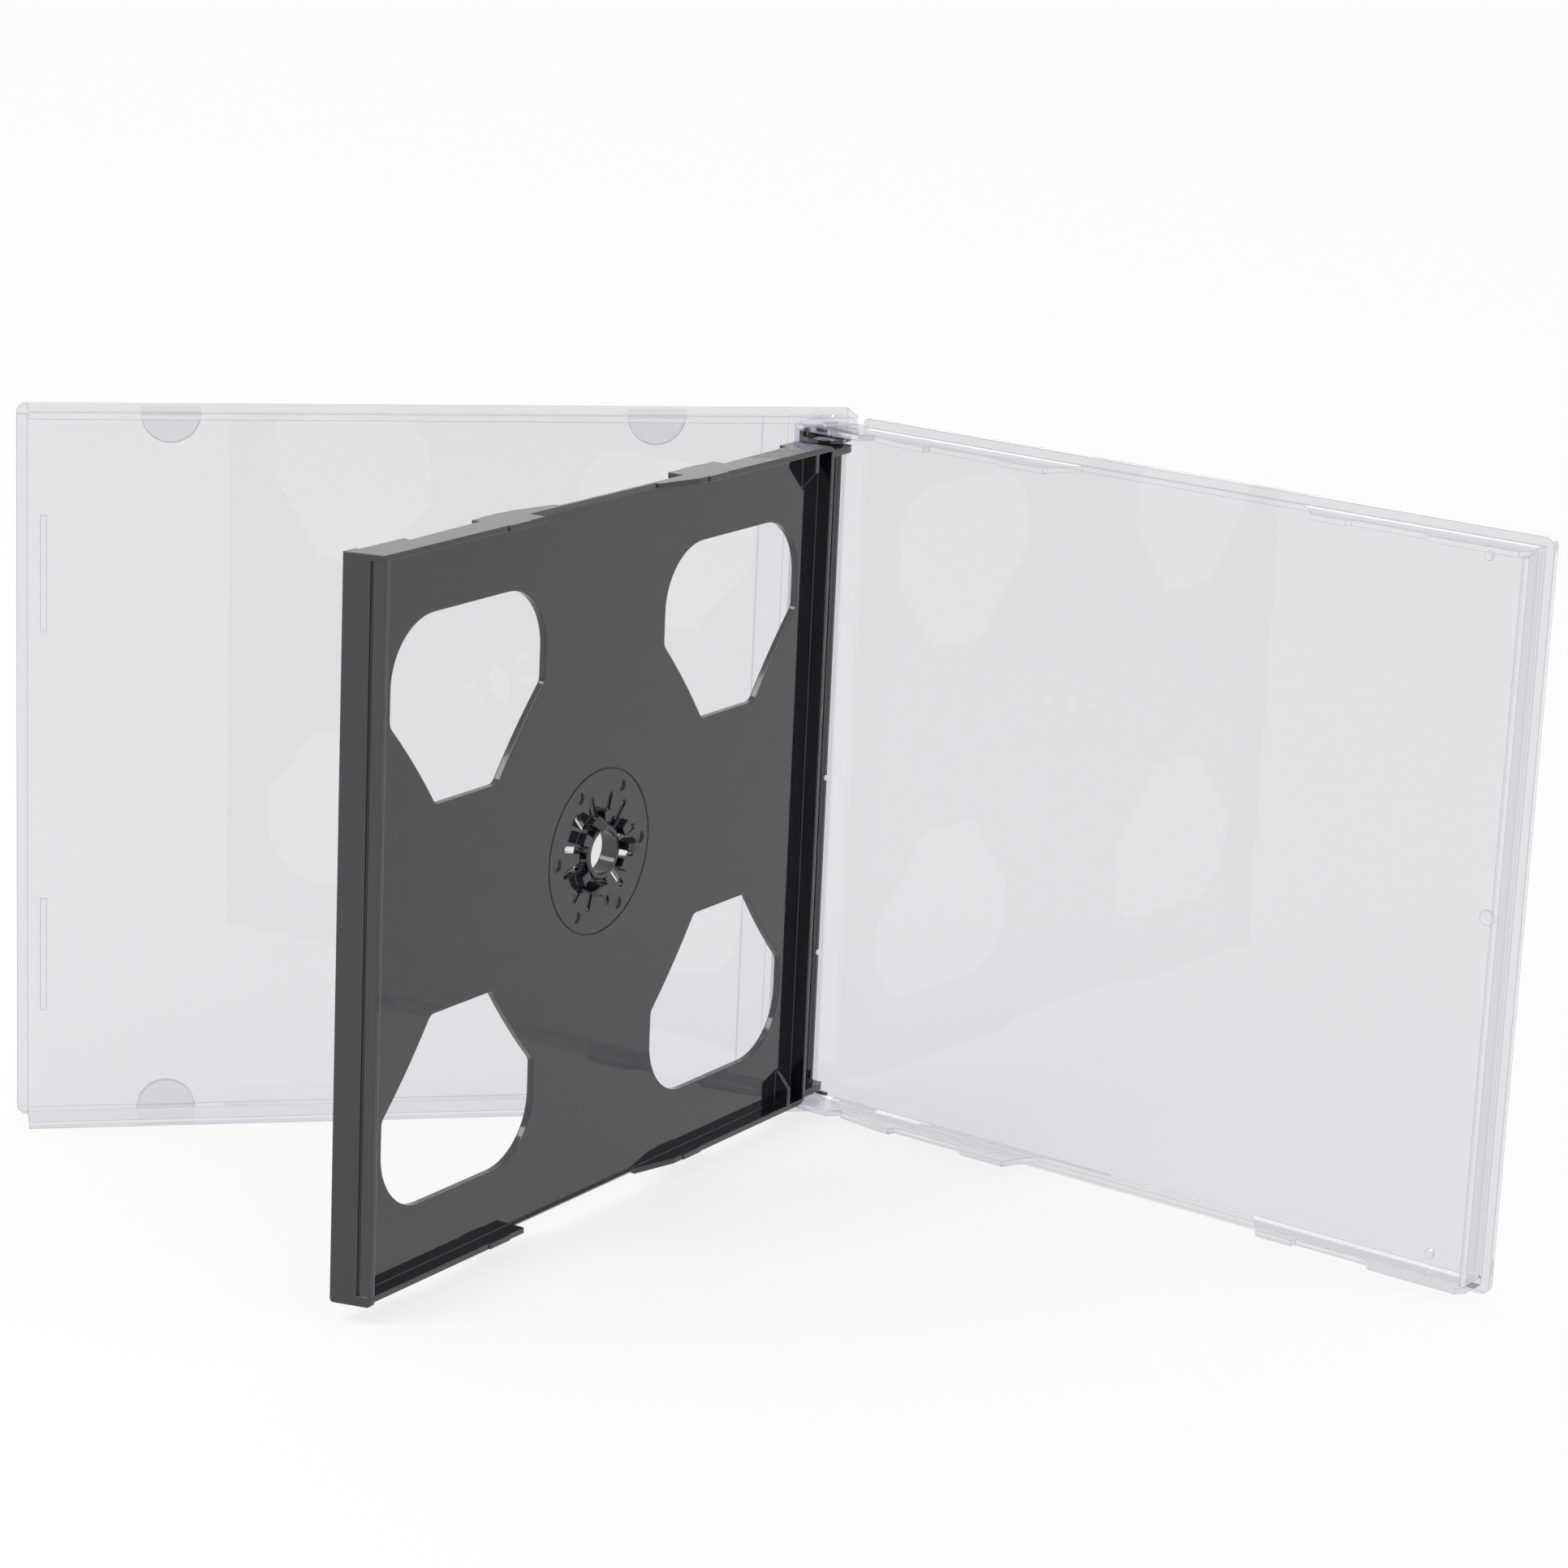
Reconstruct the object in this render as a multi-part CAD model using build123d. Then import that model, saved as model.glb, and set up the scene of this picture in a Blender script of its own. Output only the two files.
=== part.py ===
# Hinged jewel case for two discs: a clear lid, a clear base, a black hinge strip
# clipped into the base and a black two-sided disc tray that swings like a page.
# Everything is built closed, with the base's outer face on y = 0, its inside towards
# -Y, the spine at x = 0 and the height along Z. The lid and the tray are then swung
# open about their pins and the whole is moved so that it stands on the origin.
from build123d import *
from math import cos, radians, sin, sqrt
import os

# Sizes of the closed case
WIDTH = 142.0
HEIGHT = 125.0
DEPTH = 10.4
PANEL = 1.2
INSIDE = DEPTH - PANEL

# Rest pose, degrees of opening
LID_OPEN = 132.0
TRAY_OPEN = 86.7

# Clearances
SLIDE_GAP = 0.3
FACE_GAP = 0.15
LID_PIN_GAP = 0.075
TRAY_PIN_GAP = 0.05

# Hinge centres in the closed case, as x and depth behind the base's outer face
LID_AXIS = (4.8, 3.3)
TRAY_AXIS = (7.4, 5.2)
LID_PIN_R = 1.4
TRAY_PIN_R = 1.2

# Lid
EAR_LENGTH = 10.4
EAR_ROUND = 2.5
LID_WALL_TOP = PANEL + 0.1
LID_CORNER = 1.7
LIP_START = WIDTH - 1.8
LIP_HEIGHT = 0.8
BAND = (10.7, 15.2)
BAND_HEIGHT = 0.5
TAB_CENTRES = (34.0, WIDTH - 25.5)
TAB_R = 5.0
TAB_DEPTH = (7.4, 8.3)
RIB_X = WIDTH - 5.0
RIB_WIDTH = 1.0
RIB_HEIGHT = 0.45
RIB_SPANS = ((19.0, 39.0), (86.0, 106.0))

# Base
SIDE_WALL = 1.0
WALL_INSET = PANEL + SLIDE_GAP
FLANGE_START = EAR_LENGTH + SLIDE_GAP
FLANGE_ROUND = 0.8
BASE_CORNER = 1.5
SPINE_TOP = 7.0
SPINE_ROUND = 0.55
END_WALL = (WIDTH - 2.7, WIDTH - 1.5)
END_WALL_TOP = 6.5
LOBE_TOP = 8.1
LOBE_END = 16.5
LOBE_ROUND = 2.0
LOBE_SWEEP_R = 5.6
WALL_HIGH = 8.4
WALL_TAB = 7.1
WALL_FAR = 7.3
WALL_FAR_TAB = 6.3
WALL_END = 7.9
WALL_SLOPE = 1.5
WALL_CREST = 26.5
LOW_NEAR = (28.5, 42.0)
LOW_FAR = (WIDTH - 33.0, WIDTH - 20.0)
SAG = (52.0, 55.5, WIDTH - 44.0, WIDTH - 40.0)
RIDGE_TOP = 1.7
STUD_AT = (2.6, 5.8)
STUD_R = 0.8
STUD_HOLE = 0.6
POST_AT = (WIDTH - 11.0, 4.4)
POST_R = 0.8
POST_TOP = 1.7
GATE_AT = (WIDTH - 6.0, HEIGHT / 2)
GATE_R = 1.3
GATE_HEIGHT = 0.25

# Hinge strip
STRIP_THICK = 0.7
STRIP_X = (1.3, 6.4)
STRIP_WALL = 0.8
STRIP_WALL_TOP = 6.9
STRIP_END_GAP = 0.1
BRACKET_Z = 3.5
BRACKET_THICK = 0.8
BRACKET_FOOT = 8.2
FOOT_END = 9.8
FOOT_HEIGHT = 0.5
NICK = (0.5, 1.0)
NICK_ZS = (28.0, 60.0)

# Disc tray, lengths counted from its pin
TRAY_Z = 3.55
RIM = 3.3
PLATE = 0.6
HINGE_WALL = (4.8, 5.6)
HUB_A = (WIDTH - 8.8) / 2
END_LID = WIDTH - TRAY_AXIS[0] - 5.0
END_BASE = END_LID - 1.7
TRAY_WALL = 0.95
END_THICK = 1.0
TRAY_CORNER = 1.8
EAR_PLATE = 1.2
EAR_HALF = 3.1
EAR_BACK = 1.7
LOW_RIM = 2.6
LOW_RIM_END = 3.0
NOTCHES = ((19.3, TAB_CENTRES[0] + TAB_R + SLIDE_GAP), (WIDTH - 36.5, WIDTH - 18.5))
NOTCH_FLOOR = (1.7, 1.2)
FIN_A = (9.7, 10.5)
FIN_FOOT = 7.2
FIN_TOP = 4.0
GROOVE_W = -1.0
GROOVE_DEPTH = 0.45
CATCH_Z = 45.0
CATCH_HALF = (1.3, 0.5)
CATCH_DEPTH = 1.35
FOOT_DROP = 0.7
FOOT_ROUND = 0.6

# Openings of the tray's side walls for the edge of a disc, counted from the hub
EDGE_RIB = 1.1
EDGE_CREST = 0.3
EDGE_SLOPE = 0.7
GAP_FOOT = 12.7
GAP_RAMP = 21.2
GAP_END = 21.5
PADS = ((25.5, 30.8), (-28.9, -23.8))
PAD_HEIGHT = 0.25

# Windows of the tray, counted from the hub
WIN_CENTRE = 0.5435 * HUB_A
WIN_HALF = 19.75
WIN_TOP = 47.5
WIN_SHOULDER = 31.4
WIN_NECK = 16.9
WIN_NECK_HALF = 7.9
WIN_ROUND = 10.5
WIN_FLANK = (12.6, 23.2)
WIN_SHOULDER_ROUND = 2.0
WIN_NECK_ROUND = 1.6

# Hub of the tray
HUB_R = 13.9
HUB_LINE = (0.25, 0.25)
TUBE_R = 4.55
TUBE_BORE = 3.7
TUBE_TOP = 1.55
TUBE_BEVEL = 0.25
FINGERS = 6
FINGER_HALF = 13.5
FINGER_GAP = 0.65
SLOT_R = (4.75, 10.0)
SLOT_WIDTH = 1.1
TOOTH = ((5.3, 0.0), (5.3, 3.3), (5.8, 3.7), (6.8, 3.1), (7.35, 2.2), (7.0, 1.3), (7.0, 0.0))
BLOCK_R = (5.3, 7.2)
BLOCK_TOP = 2.2
BLOCK_HALF = 8.0
PIP_R = 11.5
PIP_SIZE = 1.0
PIP_DEPTH = 0.3
PIP_SIDES = 12


def slab(outline, near, far):
    """Solid of an X-Z outline between two depths behind the base's outer face."""
    return extrude(Plane.XZ.offset(near) * outline, far - near)


def rect(x0, x1, z0, z1):
    """Rectangle given by its edges."""
    return Pos((x0 + x1) / 2, (z0 + z1) / 2) * Rectangle(x1 - x0, z1 - z0)


def column(outline, z0, z1):
    """Solid of an x-depth outline between two heights."""
    return extrude(Pos(0, 0, z0) * mirror(outline, about=Plane.XZ), z1 - z0)


def pin(centre, radius, z0, z1):
    """Round pin or hole along Z at x and depth."""
    return Pos(centre[0], -centre[1], (z0 + z1) / 2) * Cylinder(radius, z1 - z0)


def both_ends(shape):
    """The shape and its mirror image at the other end of the case's height."""
    return shape + mirror(shape, about=Plane.XY.offset(HEIGHT / 2))


def corners(outline, x, z_list):
    """Vertices of an outline at the given x and any of the given heights."""
    return [v for v in outline.vertices() if abs(v.X - x) < 1e-3 and min(abs(v.Y - z) for z in z_list) < 1e-3]


def build_lid():
    """Clear front cover with ears, half-moon tabs and pins."""
    outline = rect(0, WIDTH, 0, HEIGHT)
    outline = fillet(corners(outline, WIDTH, (0, HEIGHT)), LID_CORNER)
    panel = slab(outline, INSIDE, DEPTH)
    ear = rect(0, EAR_LENGTH, 0, DEPTH)
    ear = fillet(corners(ear, 0, (0,)) + corners(ear, EAR_LENGTH, (0,)), EAR_ROUND)
    wall = column(ear + rect(EAR_LENGTH - PANEL, LIP_START, LID_WALL_TOP, DEPTH), 0, PANEL)
    lid = panel + both_ends(wall)
    lid += slab(rect(LIP_START, WIDTH, LID_CORNER, HEIGHT - LID_CORNER), INSIDE - LIP_HEIGHT, INSIDE)
    lid += slab(rect(*BAND, PANEL, HEIGHT - PANEL), INSIDE - BAND_HEIGHT, INSIDE)
    for span in RIB_SPANS:
        lid += slab(rect(RIB_X, RIB_X + RIB_WIDTH, *span), INSIDE - RIB_HEIGHT, INSIDE)
    for x in TAB_CENTRES:
        moon = Pos(x, PANEL) * Circle(TAB_R) & rect(x - TAB_R, x + TAB_R, PANEL / 2, PANEL + TAB_R)
        lid += both_ends(slab(moon, *TAB_DEPTH))
    return lid + both_ends(pin(LID_AXIS, LID_PIN_R, PANEL / 2, WALL_INSET + SIDE_WALL - STRIP_END_GAP / 2))


def wall_outline():
    """Edge line of the base's side wall, from the hinge lobe to the opening end."""
    px, pd = LID_AXIS
    start = pd + sqrt(LOBE_SWEEP_R**2 - px**2)
    meet = px - sqrt(LOBE_SWEEP_R**2 - (LOBE_TOP - pd) ** 2)
    mid = radians(135)
    lobe = ThreePointArc(
        (0, start), (px + LOBE_SWEEP_R * cos(mid + 0.1), pd + LOBE_SWEEP_R * sin(mid + 0.1)), (meet, LOBE_TOP)
    )
    run = Polyline(
        (meet, LOBE_TOP),
        (LOBE_END - LOBE_ROUND, LOBE_TOP),
        (LOBE_END, LOBE_TOP - LOBE_ROUND),
        (LOBE_END + WALL_SLOPE / 3, WALL_TAB),
        (WALL_CREST, WALL_HIGH),
        (LOW_NEAR[0] - WALL_SLOPE / 3, WALL_HIGH),
        (LOW_NEAR[0], WALL_TAB),
        (LOW_NEAR[1], WALL_TAB),
        (LOW_NEAR[1] + WALL_SLOPE, WALL_HIGH),
        (SAG[0], WALL_HIGH),
        (SAG[1], RIDGE_TOP),
        (SAG[2], RIDGE_TOP),
        (SAG[3], WALL_FAR),
        (LOW_FAR[0] - WALL_SLOPE / 3, WALL_FAR),
        (LOW_FAR[0], WALL_FAR_TAB),
        (LOW_FAR[1], WALL_FAR_TAB),
        (LOW_FAR[1] + WALL_SLOPE, WALL_END),
        (END_WALL[0], WALL_END),
        (END_WALL[1], END_WALL_TOP),
        (END_WALL[1], PANEL / 2),
        (0, PANEL / 2),
        (0, start),
    )
    return make_face(lobe + run)


def build_base():
    """Clear back cover with side walls, spine wall and opening-end wall."""
    z0, z1 = WALL_INSET, HEIGHT - WALL_INSET
    outline = rect(0, FLANGE_START + FLANGE_ROUND, z0, z1) + rect(FLANGE_START, WIDTH, 0, HEIGHT)
    outline = fillet(corners(outline, WIDTH, (0, HEIGHT)), BASE_CORNER)
    outline = fillet(corners(outline, FLANGE_START, (0, HEIGHT)), FLANGE_ROUND)
    base = slab(outline, 0, PANEL)
    base += both_ends(column(wall_outline(), z0, z0 + SIDE_WALL))
    spine = rect(0, PANEL, 0, SPINE_TOP)
    spine = fillet(corners(spine, 0, (SPINE_TOP,)) + corners(spine, PANEL, (SPINE_TOP,)), SPINE_ROUND)
    base += column(spine, z0, z1)
    base += column(rect(*END_WALL, PANEL / 2, END_WALL_TOP), z0, z1)
    base += both_ends(slab(Pos(*POST_AT) * Circle(POST_R), PANEL / 2, POST_TOP))
    base += slab(Pos(*GATE_AT) * Circle(GATE_R), PANEL / 2, PANEL + GATE_HEIGHT)
    base -= both_ends(pin(LID_AXIS, LID_PIN_R + LID_PIN_GAP, 0, z0 + SIDE_WALL * 2))
    base -= both_ends(pin(STUD_AT, STUD_R + TRAY_PIN_GAP, z0 + SIDE_WALL - STUD_HOLE, z0 + SIDE_WALL * 2))
    return base


def build_strip():
    """Black hinge strip with an end bracket and a tray pin at both ends."""
    z0, z1 = WALL_INSET + SIDE_WALL + STRIP_END_GAP, HEIGHT - WALL_INSET - SIDE_WALL - STRIP_END_GAP
    x0, x1 = STRIP_X
    foot_top = PANEL + STRIP_THICK
    strip = slab(rect(x0, x1, z0, z1), PANEL, foot_top)
    strip += column(rect(x0, x0 + STRIP_WALL, PANEL, STRIP_WALL_TOP), z0, z1)
    for z in NICK_ZS:
        strip -= slab(rect(x1 - NICK[0], x1 + NICK[0], z, z + NICK[1]), 0, DEPTH)
    px, pd = TRAY_AXIS
    bracket = make_face(
        Polyline(
            (x0, PANEL),
            (x0, STRIP_WALL_TOP),
            (3.9, 8.1),
            (6.4, 8.5),
            (8.2, 7.2),
            (px + 1.9, pd),
            (px + 1.2, pd - 1.8),
            (BRACKET_FOOT, PANEL),
            (x0, PANEL),
        )
    )
    bracket -= Pos(4.1, 3.6) * Rot(0, 0, -15) * SlotOverall(2.6, 0.8)
    end = column(bracket, BRACKET_Z, BRACKET_Z + BRACKET_THICK)
    end += column(rect(x1 - STRIP_WALL, FOOT_END, PANEL, foot_top), z0, z0 + FOOT_HEIGHT)
    end += pin(STUD_AT, STUD_R, z0 - STUD_HOLE / 2, BRACKET_Z + BRACKET_THICK / 2)
    end += pin(TRAY_AXIS, TRAY_PIN_R, BRACKET_Z, BRACKET_Z + BRACKET_THICK + FACE_GAP + EAR_PLATE)
    return strip + both_ends(end)


def window():
    """One window of the tray, right of the hub and above it, counted from the hub."""
    neck = WIN_NECK_HALF
    half = make_face(
        Polyline((0, WIN_NECK), (neck, WIN_NECK))
        + ThreePointArc((neck, WIN_NECK), WIN_FLANK, (WIN_HALF, WIN_SHOULDER))
        + Polyline((WIN_HALF, WIN_SHOULDER), (WIN_HALF, WIN_TOP), (0, WIN_TOP), (0, WIN_NECK))
    )
    face = fillet(corners(half, WIN_HALF, (WIN_TOP,)), WIN_ROUND)
    face = fillet(corners(face, WIN_HALF, (WIN_SHOULDER,)), WIN_SHOULDER_ROUND)
    face = fillet(corners(face, neck, (WIN_NECK,)), WIN_NECK_ROUND)
    return Pos(WIN_CENTRE, 0) * (face + mirror(face, about=Plane.YZ))


def four_windows(outline):
    """The outline repeated in all four quarters around the hub of the closed tray."""
    right = outline + mirror(outline, about=Plane.XZ)
    return Pos(TRAY_AXIS[0] + HUB_A, HEIGHT / 2) * (right + mirror(right, about=Plane.YZ))


def sector(profile, middle, half):
    """Body of a radius-depth outline swept about the hub's axis by half an angle to either side of its middle."""
    swept = revolve(Plane.XZ * make_face(Polyline(*profile, profile[0])), Axis.Z, 2 * half)
    return Rot(0, 0, middle - half) * swept


def hub_solids():
    """Material and cuts of the hub, with the tray's middle plane on z = 0 and the lid's side up."""
    tube = Cylinder(TUBE_R, 2 * TUBE_TOP)
    tube = chamfer(tube.edges().filter_by(GeomType.CIRCLE), TUBE_BEVEL)
    ring = tube
    block = ((BLOCK_R[0], 0), (BLOCK_R[0], BLOCK_TOP), (BLOCK_R[1], BLOCK_TOP), (BLOCK_R[1], 0))
    gap = ((TUBE_R, -RIM), (TUBE_R, RIM), (TUBE_R + FINGER_GAP, RIM), (TUBE_R + FINGER_GAP, -RIM))
    line = Cylinder(HUB_R, 2 * HUB_LINE[1]) - Cylinder(HUB_R - HUB_LINE[0], 2 * HUB_LINE[1])
    cuts = Cylinder(TUBE_BORE, 4 * TUBE_TOP) + Pos(0, 0, PLATE) * line + Pos(0, 0, -PLATE) * line
    slot = Pos(sum(SLOT_R) / 2, 0) * SlotOverall(SLOT_R[1] - SLOT_R[0], SLOT_WIDTH)
    pip = extrude(Pos(PIP_R, 0, PLATE) * RegularPolygon(PIP_SIZE, PIP_SIDES), PIP_DEPTH, both=True)
    for k in range(FINGERS):
        turn = 360 / FINGERS * k
        tooth = sector(TOOTH, turn, FINGER_HALF)
        ring += mirror(tooth, about=Plane.XY) if k % 2 else tooth
        stop = sector(block, turn + 180 / FINGERS, BLOCK_HALF)
        ring += stop + mirror(stop, about=Plane.XY)
        cuts += sector(gap, turn, FINGER_HALF)
        for side in (-1, 1):
            cuts += extrude(Rot(0, 0, turn + side * FINGER_HALF) * slot, 2 * RIM, both=True)
        cuts += Rot(0, 0, turn) * (pip + mirror(pip, about=Plane.XY))
    return ring, cuts


def wall_gaps(hub_x, mid):
    """Outline, seen along the height, of what the disc openings take off a side wall on both sides of the tray."""
    gap = make_face(
        Polyline(
            (-GAP_RAMP, -RIM),
            (-GAP_FOOT, -EDGE_RIB),
            (GAP_END, -EDGE_RIB),
            (GAP_END, -2 * RIM),
            (-GAP_RAMP, -2 * RIM),
            (-GAP_RAMP, -RIM),
        )
    )
    return Pos(hub_x, mid) * (gap + Rot(0, 0, 180) * gap)


def build_tray():
    """Black two-sided disc tray."""
    px, mid = TRAY_AXIS
    zc = HEIGHT / 2
    z0, z1 = TRAY_Z, HEIGHT - TRAY_Z
    hub_x = px + HUB_A
    hinge_x, hinge_in = px + HINGE_WALL[0], px + HINGE_WALL[1]
    lid_x, base_x = px + END_LID, px + END_BASE
    lean = (lid_x - base_x) / (2 * RIM)

    def outer(depth):
        """Outer face of the leaning end wall at a depth counted from the middle plane."""
        return (lid_x + base_x) / 2 + lean * depth

    block = make_face(
        Polyline(
            (hinge_x, mid - RIM), (hinge_x, mid + RIM), (lid_x, mid + RIM), (base_x, mid - RIM), (hinge_x, mid - RIM)
        )
    )
    plan = rect(hinge_x, lid_x + END_THICK, z0, z1)
    plan = fillet(corners(plan, hinge_x, (z0, z1)), TRAY_CORNER)
    tray = column(block, z0, z1) & slab(plan, 0, DEPTH)
    for near, far in ((PLATE, 2 * RIM), (-PLATE, -2 * RIM)):
        pocket = make_face(
            Polyline(
                (hinge_in, mid + near),
                (hinge_in, mid + far),
                (outer(far) - END_THICK, mid + far),
                (outer(near) - END_THICK, mid + near),
                (hinge_in, mid + near),
            )
        )
        tray -= column(pocket, z0 + TRAY_WALL, z1 - TRAY_WALL)
    tray -= both_ends(column(wall_gaps(hub_x, mid), 0, z0 + TRAY_WALL))
    for side in (-1, 1):
        reach = 2 * EDGE_RIB - EDGE_CREST
        drop = EDGE_SLOPE / (EDGE_RIB - EDGE_CREST)
        bevel = make_face(
            Polyline(
                (z0 - EDGE_CREST * drop, mid),
                (z0 - EDGE_CREST * drop, mid + side * reach),
                (z0 + (reach - EDGE_CREST) * drop, mid + side * reach),
                (z0 - EDGE_CREST * drop, mid),
            )
        )
        start = hub_x - (GAP_END if side > 0 else GAP_FOOT)
        bevel_plane = Plane(origin=(start, 0, 0), x_dir=(0, 0, 1), z_dir=(1, 0, 0))
        tray -= both_ends(extrude(bevel_plane * bevel, GAP_END + GAP_FOOT))
    hub_line = Axis((hub_x, -mid, 0), (0, 0, 1))
    for start, stop in PADS:
        pad = both_ends(slab(rect(hub_x + start, hub_x + stop, z0, z0 + TRAY_WALL), mid - RIM - PAD_HEIGHT, mid))
        tray += pad + pad.rotate(hub_line, 180)
    end = make_face(
        Polyline(
            (outer(-RIM) - END_THICK, mid - RIM),
            (outer(RIM) - END_THICK, mid + RIM),
            (outer(RIM), mid + RIM),
            (outer(-RIM), mid - RIM),
            (outer(-RIM) - END_THICK, mid - RIM),
        )
    )
    foot_plane = Plane(origin=(0, -mid, z0), x_dir=(0, 1, 0), z_dir=(1, 0, 0))
    foot = extrude(foot_plane * RectangleRounded(2 * RIM, 2 * FOOT_DROP, FOOT_ROUND), lid_x)
    tray += column(end, 0, HEIGHT) & foot
    fin = make_face(
        Polyline(
            (z0 + TRAY_WALL / 2, mid - RIM),
            (z0 + FIN_TOP, mid - RIM),
            (z0 + FIN_FOOT, mid - PLATE),
            (z0 + FIN_FOOT, mid + PLATE),
            (z0 + FIN_TOP, mid + RIM),
            (z0 + TRAY_WALL / 2, mid + RIM),
            (z0 + TRAY_WALL / 2, mid - RIM),
        )
    )
    fin_plane = Plane(origin=(px + FIN_A[0], 0, 0), x_dir=(0, 0, 1), z_dir=(1, 0, 0))
    tray += both_ends(extrude(fin_plane * fin, FIN_A[1] - FIN_A[0]))
    low = rect(NOTCHES[1][0], lid_x - LOW_RIM_END, 0, z0 + TRAY_WALL)
    tray -= both_ends(slab(low, mid + LOW_RIM, DEPTH))
    for x0, x1 in NOTCHES:
        floor = [mid + depth for depth in NOTCH_FLOOR]
        notch = make_face(Polyline((x0, floor[0]), (x1, floor[1]), (x1, DEPTH), (x0, DEPTH), (x0, floor[0])))
        tray -= both_ends(column(notch, 0, z0 + TRAY_WALL))
    groove = make_face(
        Polyline(
            (lid_x + END_THICK, mid + GROOVE_W),
            (outer(GROOVE_W) - GROOVE_DEPTH, mid + GROOVE_W),
            (base_x, mid - RIM),
            (lid_x + END_THICK, mid - RIM),
            (lid_x + END_THICK, mid + GROOVE_W),
        )
    )
    tray -= column(groove, z0 + TRAY_WALL, z1 - TRAY_WALL)
    catch = make_face(
        Polyline(
            (-CATCH_HALF[0], 0),
            (-CATCH_HALF[1], CATCH_DEPTH),
            (CATCH_HALF[1], CATCH_DEPTH),
            (CATCH_HALF[0], 0),
            (-CATCH_HALF[0], 0),
        )
    )
    for z in (zc - CATCH_Z, zc + CATCH_Z):
        catch_plane = Plane(origin=(base_x - 2 * END_THICK, RIM - mid, z), x_dir=(0, 0, -1), z_dir=(1, 0, 0))
        tray -= extrude(catch_plane * catch, 4 * END_THICK)
    tray -= slab(four_windows(window()), 0, DEPTH)
    ring, cuts = hub_solids()
    seat = Plane(origin=(hub_x, -mid, zc), x_dir=(1, 0, 0), z_dir=(0, -1, 0))
    tray += seat * ring
    tray -= seat * cuts
    ear = rect(px - EAR_BACK, hinge_in - TRAY_WALL / 2, mid - EAR_HALF, mid + EAR_HALF)
    round_end = Pos(px, mid) * Circle(EAR_HALF) + rect(px, hinge_in, mid - EAR_HALF, mid + EAR_HALF)
    ear_z = BRACKET_Z + BRACKET_THICK + FACE_GAP
    tray += both_ends(column(ear & round_end, ear_z, ear_z + EAR_PLATE))
    return tray - both_ends(pin(TRAY_AXIS, TRAY_PIN_R + TRAY_PIN_GAP, 0, ear_z + EAR_PLATE * 2))


def swung(shape, centre, opening):
    """The closed leaf turned open about its pin."""
    return shape.rotate(Axis((centre[0], -centre[1], 0), (0, 0, 1)), -opening)


pieces = {
    "base": build_base(),
    "lid": swung(build_lid(), LID_AXIS, LID_OPEN),
    "hinge_strip": build_strip(),
    "disc_tray": swung(build_tray(), TRAY_AXIS, TRAY_OPEN),
}

boxes = [shape.bounding_box() for shape in pieces.values()]
shift = (
    -(min(b.min.X for b in boxes) + max(b.max.X for b in boxes)) / 2,
    -(min(b.min.Y for b in boxes) + max(b.max.Y for b in boxes)) / 2,
    -min(b.min.Z for b in boxes),
)
os.makedirs("parts", exist_ok=True)
for name, shape in pieces.items():
    export_step(Pos(*shift) * shape, "parts/" + name + ".step")
print("shift", [round(v, 4) for v in shift])
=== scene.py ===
import bpy
from math import radians
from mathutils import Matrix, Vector


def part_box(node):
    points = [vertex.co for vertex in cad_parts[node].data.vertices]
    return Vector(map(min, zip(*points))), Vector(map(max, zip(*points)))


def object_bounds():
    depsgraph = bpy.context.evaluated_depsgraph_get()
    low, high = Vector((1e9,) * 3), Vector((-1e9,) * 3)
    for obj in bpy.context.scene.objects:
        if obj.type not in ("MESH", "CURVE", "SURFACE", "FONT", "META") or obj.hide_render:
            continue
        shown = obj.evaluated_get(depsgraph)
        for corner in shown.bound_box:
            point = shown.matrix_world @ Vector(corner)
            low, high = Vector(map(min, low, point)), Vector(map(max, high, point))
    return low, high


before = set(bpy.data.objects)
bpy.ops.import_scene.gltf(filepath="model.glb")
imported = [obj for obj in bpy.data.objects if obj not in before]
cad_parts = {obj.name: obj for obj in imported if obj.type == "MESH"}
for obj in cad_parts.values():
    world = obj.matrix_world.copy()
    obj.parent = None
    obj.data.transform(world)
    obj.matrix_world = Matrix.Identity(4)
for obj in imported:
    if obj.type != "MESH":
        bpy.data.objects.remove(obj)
CAD_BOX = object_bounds()


# Base, the clear back cover. It is one injection moulding of crystal polystyrene with
# walls of about a millimetre, polished in the tool, and tinted with a faint violet toner
# that only shows where the light runs far through a wall.
def linear(hex_colour):
    """Linear colour of an sRGB hex value."""
    parts = [int(hex_colour[i : i + 2], 16) / 255 for i in (1, 3, 5)]
    return [c / 12.92 if c <= 0.04045 else ((c + 0.055) / 1.055) ** 2.4 for c in parts] + [1.0]


def add(tree, kind, settings=None, values=None, links=None):
    """Adds a node with its settings, socket values and incoming links."""
    made = tree.nodes.new(kind)
    for key, value in (settings or {}).items():
        setattr(made, key, value)
    for key, value in (values or {}).items():
        made.inputs[key].default_value = value
    for key, source in (links or {}).items():
        tree.links.new(source, made.inputs[key])
    return made


def empty_tree(owner):
    """Turns a material's or world's nodes on and clears them."""
    owner.use_nodes = True
    owner.node_tree.nodes.clear()
    return owner.node_tree


def finish_node(node, material):
    """Gives every material slot of a CAD node one finish."""
    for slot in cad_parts[node].material_slots:
        slot.material = material


# Colours of the glass and of the light that goes straight through it, for the first wall
# that the eye meets and for the walls behind it, which would grey the picture twice.
CLEAR_COLOURS = (("#E4E4E7", "#F1F1F2"), ("#F9F9FA", "#FCFCFC"))
CLEAR_SHADOW = "#EFEFF1"
# Polystyrene has 1.59. Less mirrors the tray as faintly as the real walls do.
CLEAR_IOR = 1.42
# Share of the light that passes a panel unbent, and the bounce after which all does, a
# little greyer for its long way through the plastic.
CLEAR_STRAIGHT = 0.35
CLEAR_LAST_DEPTH = 2.5
CLEAR_LAST_COLOUR = "#E8E8ED"
CLEAR_HAZE = (0.004, 0.015)
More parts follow.
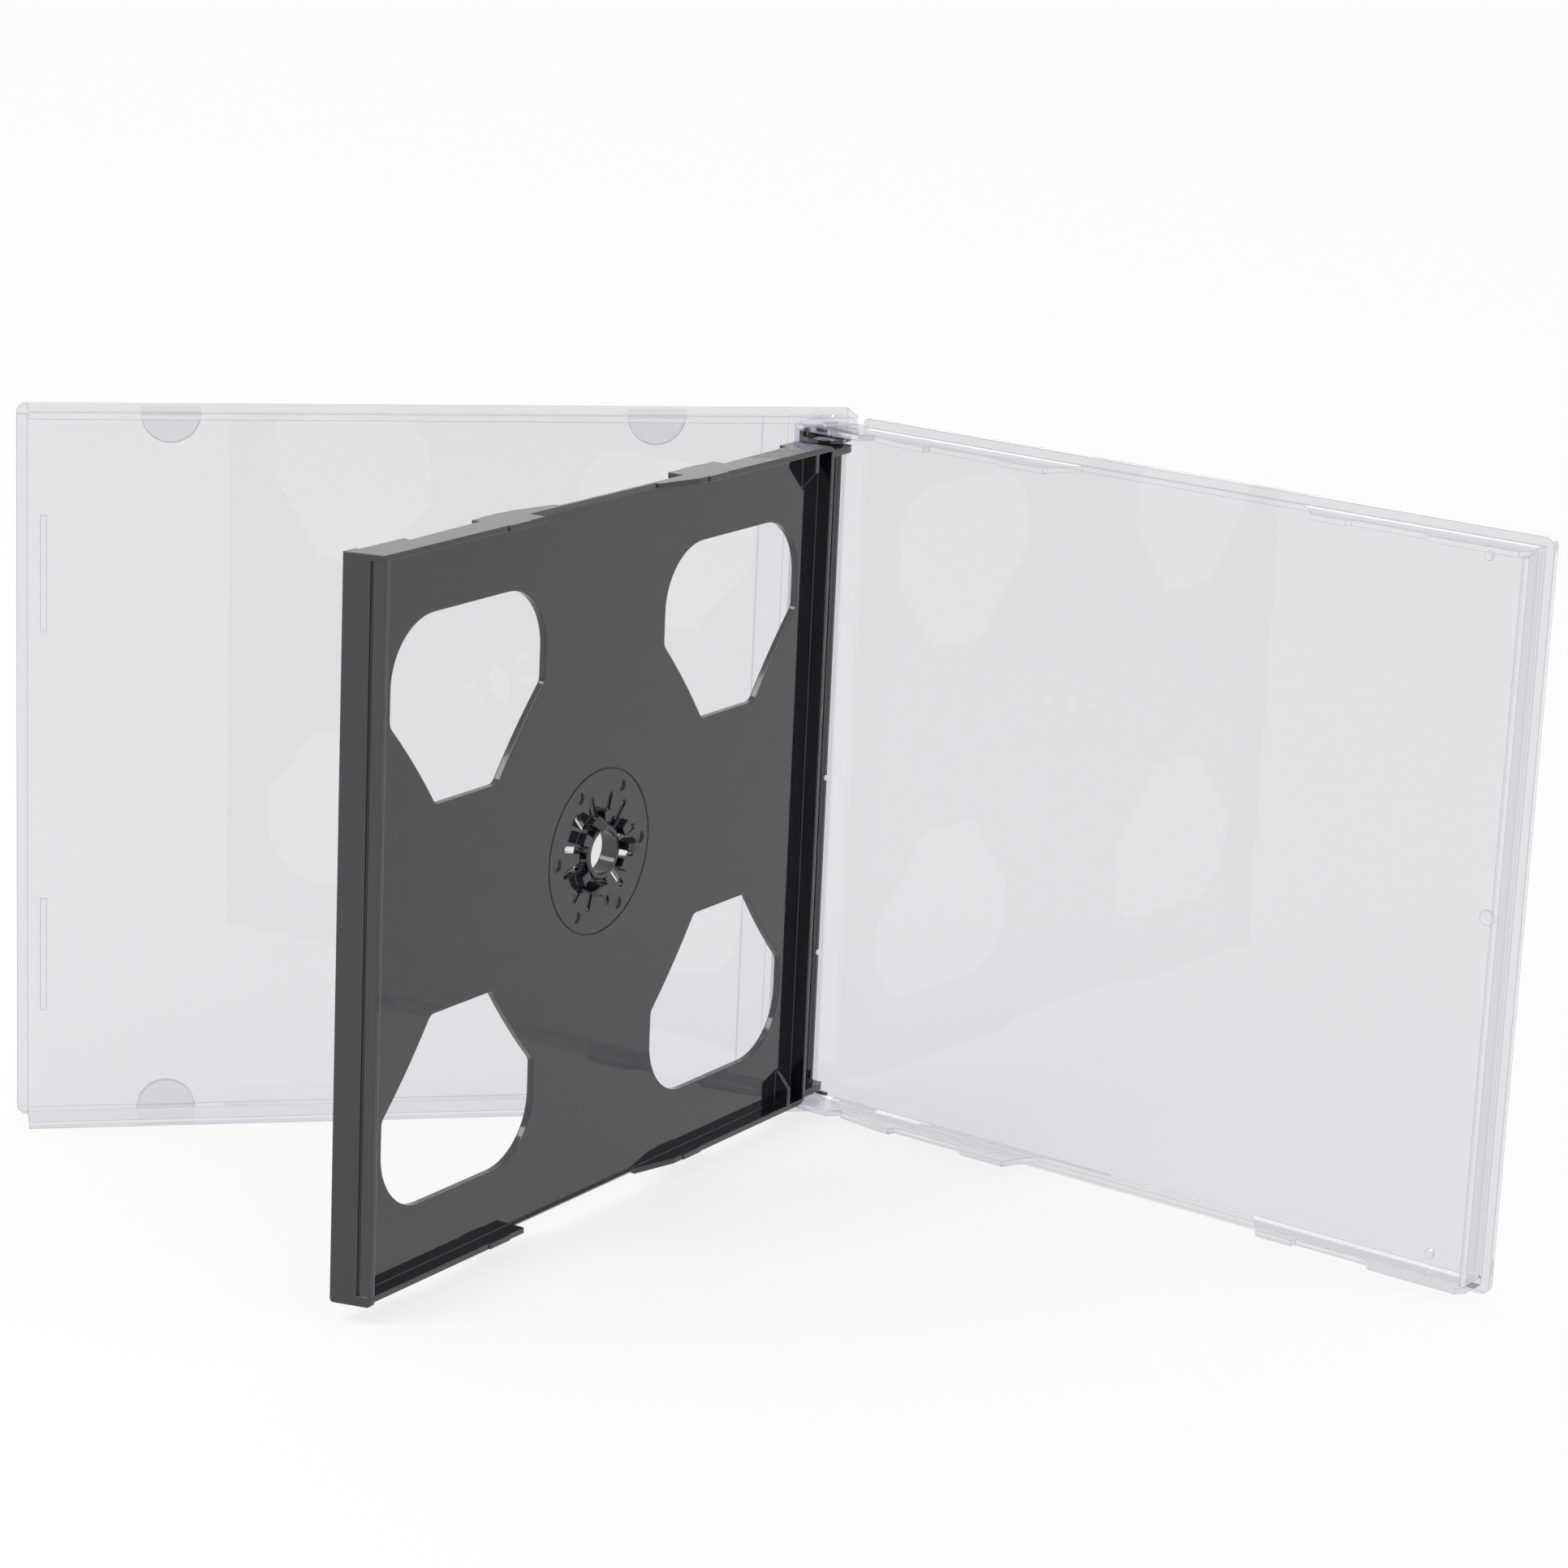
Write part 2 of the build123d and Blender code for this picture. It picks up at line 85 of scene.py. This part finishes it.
# Waves that the melt leaves as it fills the tool, in millimetres from crest to crest.
CLEAR_FLOW_MM = 14.0
CLEAR_WAVE = 0.006
# The tool's rounded edges bend light away, so they show as thin grey lines. That grey is
# painted shade, mixed into the glass colour.
CLEAR_EDGE_MM = 0.2
CLEAR_PAINTED_EDGE_SHADE = "#A6A5B0"
CLEAR_EDGE_TURN = 0.93
TONER_COLOUR = "#D0CEEA"
TONER_DENSITY = 20.0
WAVE_HEIGHT = 0.0002
FLOW_DETAIL = 2.0
FLOW_SPAN = (0.3, 0.7)
EDGE_SAMPLES = 6


def moulded_crystal_polystyrene():
    """Clear, hard and glossy, with the slow waviness that the flow leaves in a thin wall."""
    material = bpy.data.materials.new("moulded_crystal_polystyrene")
    tree = empty_tree(material)
    place = add(tree, "ShaderNodeTexCoord")
    flow = add(
        tree,
        "ShaderNodeTexNoise",
        None,
        {"Scale": 1000 / CLEAR_FLOW_MM, "Detail": FLOW_DETAIL},
        {"Vector": place.outputs["Object"]},
    )
    haze = add(
        tree,
        "ShaderNodeMapRange",
        None,
        {
            "From Min": FLOW_SPAN[0],
            "From Max": FLOW_SPAN[1],
            "To Min": CLEAR_HAZE[0],
            "To Max": CLEAR_HAZE[1],
        },
        {"Value": flow.outputs["Fac"]},
    )
    wave = add(
        tree,
        "ShaderNodeBump",
        None,
        {"Strength": CLEAR_WAVE, "Distance": WAVE_HEIGHT},
        {"Height": flow.outputs["Fac"]},
    )

    # An edge is where the rounded normal turns away from the flat one. This mask lays the
    # painted edge shade.
    rounded = add(
        tree, "ShaderNodeBevel", {"samples": EDGE_SAMPLES}, {"Radius": CLEAR_EDGE_MM / 1000}
    )
    flat = add(tree, "ShaderNodeNewGeometry")
    turn = add(
        tree,
        "ShaderNodeVectorMath",
        {"operation": "DOT_PRODUCT"},
        None,
        {0: rounded.outputs["Normal"], 1: flat.outputs["Normal"]},
    )
    painted_edge_shade = add(
        tree,
        "ShaderNodeMapRange",
        None,
        {"From Min": 1.0, "From Max": CLEAR_EDGE_TURN},
        {"Value": turn.outputs["Value"]},
    )

    # Light that enters a panel unbent leaves it unbent, so nothing behind it doubles. An
    # odd count of walls passed unbent says that the light is inside one.
    ray = add(tree, "ShaderNodeLightPath")
    inside = add(
        tree,
        "ShaderNodeMath",
        {"operation": "MODULO"},
        {1: 2.0},
        {0: ray.outputs["Transparent Depth"]},
    )
    straight = add(
        tree,
        "ShaderNodeMix",
        {"data_type": "FLOAT"},
        {2: CLEAR_STRAIGHT},
        {0: flat.outputs["Backfacing"], 3: inside.outputs[0]},
    )
    last = add(
        tree,
        "ShaderNodeMath",
        {"operation": "GREATER_THAN"},
        {1: CLEAR_LAST_DEPTH},
        {0: ray.outputs["Ray Depth"]},
    )
    unbent = add(
        tree,
        "ShaderNodeMath",
        {"operation": "MAXIMUM"},
        None,
        {0: last.outputs[0], 1: straight.outputs[0]},
    )

    # Sockets 6 and 7 are a colour mixer's two colours, and output 2 is its result.
    # Each tint turns to a painted grey shade along the rounded edges.
    walls = []
    for colours in CLEAR_COLOURS:
        glass_tint_and_edge_shade, straight_tint_and_edge_shade = [
            add(
                tree,
                "ShaderNodeMix",
                {"data_type": "RGBA"},
                {6: linear(colour), 7: linear(CLEAR_PAINTED_EDGE_SHADE)},
                {0: painted_edge_shade.outputs["Result"]},
            ).outputs[2]
            for colour in colours
        ]
        straight_tint_and_edge_shade = add(
            tree,
            "ShaderNodeMix",
            {"data_type": "RGBA"},
            {7: linear(CLEAR_LAST_COLOUR)},
            {0: last.outputs[0], 6: straight_tint_and_edge_shade},
        ).outputs[2]
        glass = add(
            tree,
            "ShaderNodeBsdfPrincipled",
            None,
            {"IOR": CLEAR_IOR, "Transmission Weight": 1.0},
            {
                "Base Color": glass_tint_and_edge_shade,
                "Roughness": haze.outputs["Result"],
                "Normal": wave.outputs["Normal"],
            },
        )
        thin = add(tree, "ShaderNodeBsdfTransparent", None, None, {"Color": straight_tint_and_edge_shade})
        walls.append(
            add(
                tree,
                "ShaderNodeMixShader",
                None,
                None,
                {0: unbent.outputs[0], 1: glass.outputs["BSDF"], 2: thin.outputs["BSDF"]},
            )
        )

    # More than one wall passed, or a mirror image, means a wall behind the first.
    passed = add(
        tree,
        "ShaderNodeMath",
        {"operation": "ADD"},
        None,
        {0: ray.outputs["Transmission Depth"], 1: ray.outputs["Transparent Depth"]},
    )
    behind = add(
        tree, "ShaderNodeMath", {"operation": "SUBTRACT"}, {1: 1.0}, {0: passed.outputs[0]}
    )
    behind = add(
        tree,
        "ShaderNodeMath",
        {"operation": "MAXIMUM"},
        None,
        {0: behind.outputs[0], 1: ray.outputs["Glossy Depth"]},
    )
    wall = add(
        tree,
        "ShaderNodeMixShader",
        None,
        None,
        {0: behind.outputs[0], 1: walls[0].outputs["Shader"], 2: walls[1].outputs["Shader"]},
    )

    # Light falls through a clear wall and leaves only a pale shadow.
    shade = add(tree, "ShaderNodeBsdfTransparent", None, {"Color": linear(CLEAR_SHADOW)})
    surface = add(
        tree,
        "ShaderNodeMixShader",
        None,
        None,
        {
            0: ray.outputs["Is Shadow Ray"],
            1: wall.outputs["Shader"],
            2: shade.outputs["BSDF"],
        },
    )
    toner = add(
        tree,
        "ShaderNodeVolumeAbsorption",
        None,
        {"Color": linear(TONER_COLOUR), "Density": TONER_DENSITY},
    )
    add(
        tree,
        "ShaderNodeOutputMaterial",
        None,
        None,
        {"Surface": surface.outputs["Shader"], "Volume": toner.outputs["Volume"]},
    )
    return material


clear = moulded_crystal_polystyrene()
finish_node("base", clear)


# Lid, the clear front cover with its booklet tabs and ribs. It is moulded of the same
# crystal polystyrene, and its two ears snap into the base's side walls at the spine.
finish_node("lid", clear)


# Hinge strip, clipped into the base along the spine by two studs. It is an injection
# moulding of black polystyrene with a smooth tool finish, so it mirrors the pale
# surroundings softly.
BLACK_COLOUR = "#1F1B25"
BLACK_IOR = 1.59
BLACK_GLOSS = 0.62
BLACK_ROUGHNESS = (0.035, 0.08)
# Slow changes of gloss and level where the melt shrank, in millimetres.
BLACK_FLOW_MM = 22.0
BLACK_WAVE = 0.05
BLACK_EDGE_MM = 0.3


def moulded_black_polystyrene():
    """Black and glossy, a little uneven over its faces, with edges rounded by the tool."""
    material = bpy.data.materials.new("moulded_black_polystyrene")
    tree = empty_tree(material)
    place = add(tree, "ShaderNodeTexCoord")
    flow = add(
        tree,
        "ShaderNodeTexNoise",
        None,
        {"Scale": 1000 / BLACK_FLOW_MM, "Detail": FLOW_DETAIL},
        {"Vector": place.outputs["Object"]},
    )
    rough = add(
        tree,
        "ShaderNodeMapRange",
        None,
        {
            "From Min": FLOW_SPAN[0],
            "From Max": FLOW_SPAN[1],
            "To Min": BLACK_ROUGHNESS[0],
            "To Max": BLACK_ROUGHNESS[1],
        },
        {"Value": flow.outputs["Fac"]},
    )
    rounded = add(
        tree, "ShaderNodeBevel", {"samples": EDGE_SAMPLES}, {"Radius": BLACK_EDGE_MM / 1000}
    )
    wave = add(
        tree,
        "ShaderNodeBump",
        None,
        {"Strength": BLACK_WAVE, "Distance": WAVE_HEIGHT},
        {"Height": flow.outputs["Fac"], "Normal": rounded.outputs["Normal"]},
    )
    surface = add(
        tree,
        "ShaderNodeBsdfPrincipled",
        None,
        {
            "Base Color": linear(BLACK_COLOUR),
            "IOR": BLACK_IOR,
            "Specular IOR Level": BLACK_GLOSS,
        },
        {"Roughness": rough.outputs["Result"], "Normal": wave.outputs["Normal"]},
    )
    add(tree, "ShaderNodeOutputMaterial", None, None, {"Surface": surface.outputs["BSDF"]})
    return material


black = moulded_black_polystyrene()
finish_node("hinge_strip", black)


# Disc tray, the two-sided plate with a spring-finger hub that swings on the strip's
# pins. It is moulded of the same black polystyrene.
finish_node("disc_tray", black)


# Studio: a white paper floor that runs out of the picture, under an even white sky.
# Both read as plain white to the camera, in gloss and through the clear walls, and light
# the object at a plain level. The floor keeps a soft shadow.
FLOOR_REACH = 3.0
FLOOR_DROP = 0.0002
PAPER_COLOUR = "#838383"
PAPER_ROUGHNESS = 0.9
PAPER_GLOW = 0.74
SKY_SEEN = 0.98
SKY_LIGHT = 0.75
WHITE = "#FFFFFF"


def seen(tree):
    """One where the eye sees the surface, itself, in gloss or through a clear wall."""
    ray = add(tree, "ShaderNodeLightPath")
    result = ray.outputs["Is Camera Ray"]
    for other in ("Is Glossy Ray", "Is Transmission Ray"):
        result = add(
            tree,
            "ShaderNodeMath",
            {"operation": "MAXIMUM"},
            None,
            {0: result, 1: ray.outputs[other]},
        ).outputs[0]
    return result


bpy.ops.object.select_all(action="DESELECT")
bpy.ops.mesh.primitive_plane_add(
    size=2 * FLOOR_REACH, location=(0, 0, CAD_BOX[0].z - FLOOR_DROP)
)
floor = bpy.context.object
floor.name = "paper_floor"
paper = bpy.data.materials.new("matt_white_paper")
tree = empty_tree(paper)
glow = add(
    tree, "ShaderNodeMath", {"operation": "MULTIPLY"}, {1: PAPER_GLOW}, {0: seen(tree)}
)
sheet = add(
    tree,
    "ShaderNodeBsdfPrincipled",
    None,
    {
        "Base Color": linear(PAPER_COLOUR),
        "Roughness": PAPER_ROUGHNESS,
        "Emission Color": linear(WHITE),
    },
    {"Emission Strength": glow.outputs[0]},
)
add(tree, "ShaderNodeOutputMaterial", None, None, {"Surface": sheet.outputs["BSDF"]})
floor.data.materials.append(paper)

world = bpy.data.worlds.new("white_sky")
bpy.context.scene.world = world
tree = empty_tree(world)
power = add(
    tree,
    "ShaderNodeMapRange",
    None,
    {"From Min": 0.0, "From Max": 1.0, "To Min": SKY_LIGHT, "To Max": SKY_SEEN},
    {"Value": seen(tree)},
)
sky = add(
    tree,
    "ShaderNodeBackground",
    None,
    {"Color": linear(WHITE)},
    {"Strength": power.outputs["Result"]},
)
add(tree, "ShaderNodeOutputWorld", None, None, {"Surface": sky.outputs["Background"]})

# Softbox above and in front, left of the camera, turned to the middle of the case.
LAMP_PLACE = Vector((-0.35, -0.75, 0.95))
LAMP_TARGET = Vector((0, 0, 0.06))
LAMP_SIZE = 0.7
LAMP_POWER = 6.0
bpy.ops.object.light_add(type="AREA", location=LAMP_PLACE)
lamp = bpy.context.object
lamp.name = "softbox"
lamp.data.size = LAMP_SIZE
lamp.data.energy = LAMP_POWER
lamp.rotation_euler = (LAMP_TARGET - LAMP_PLACE).to_track_quat("-Z", "Y").to_euler()

# Camera: right of the open case and above it, with a long lens. Its place is counted
# from the base's outer corner at the spine.
SPINE_CORNER = Vector((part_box("base")[0].x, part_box("base")[1].y, 0))
CAMERA_FROM_SPINE = Vector((0.444478, -0.620031, 0.262508))
CAMERA_TURN = (74.9597, -2.4694, 36.5217)
CAMERA_LENS = 102.783
CAMERA_SENSOR = 36.0
CAMERA_CLIP = (0.01, 20.0)
bpy.ops.object.camera_add(
    location=SPINE_CORNER + CAMERA_FROM_SPINE, rotation=[radians(a) for a in CAMERA_TURN]
)
camera = bpy.context.object
camera.data.sensor_width = CAMERA_SENSOR
camera.data.lens = CAMERA_LENS
camera.data.clip_start, camera.data.clip_end = CAMERA_CLIP
bpy.context.scene.camera = camera
bpy.context.scene.view_settings.view_transform = "Standard"
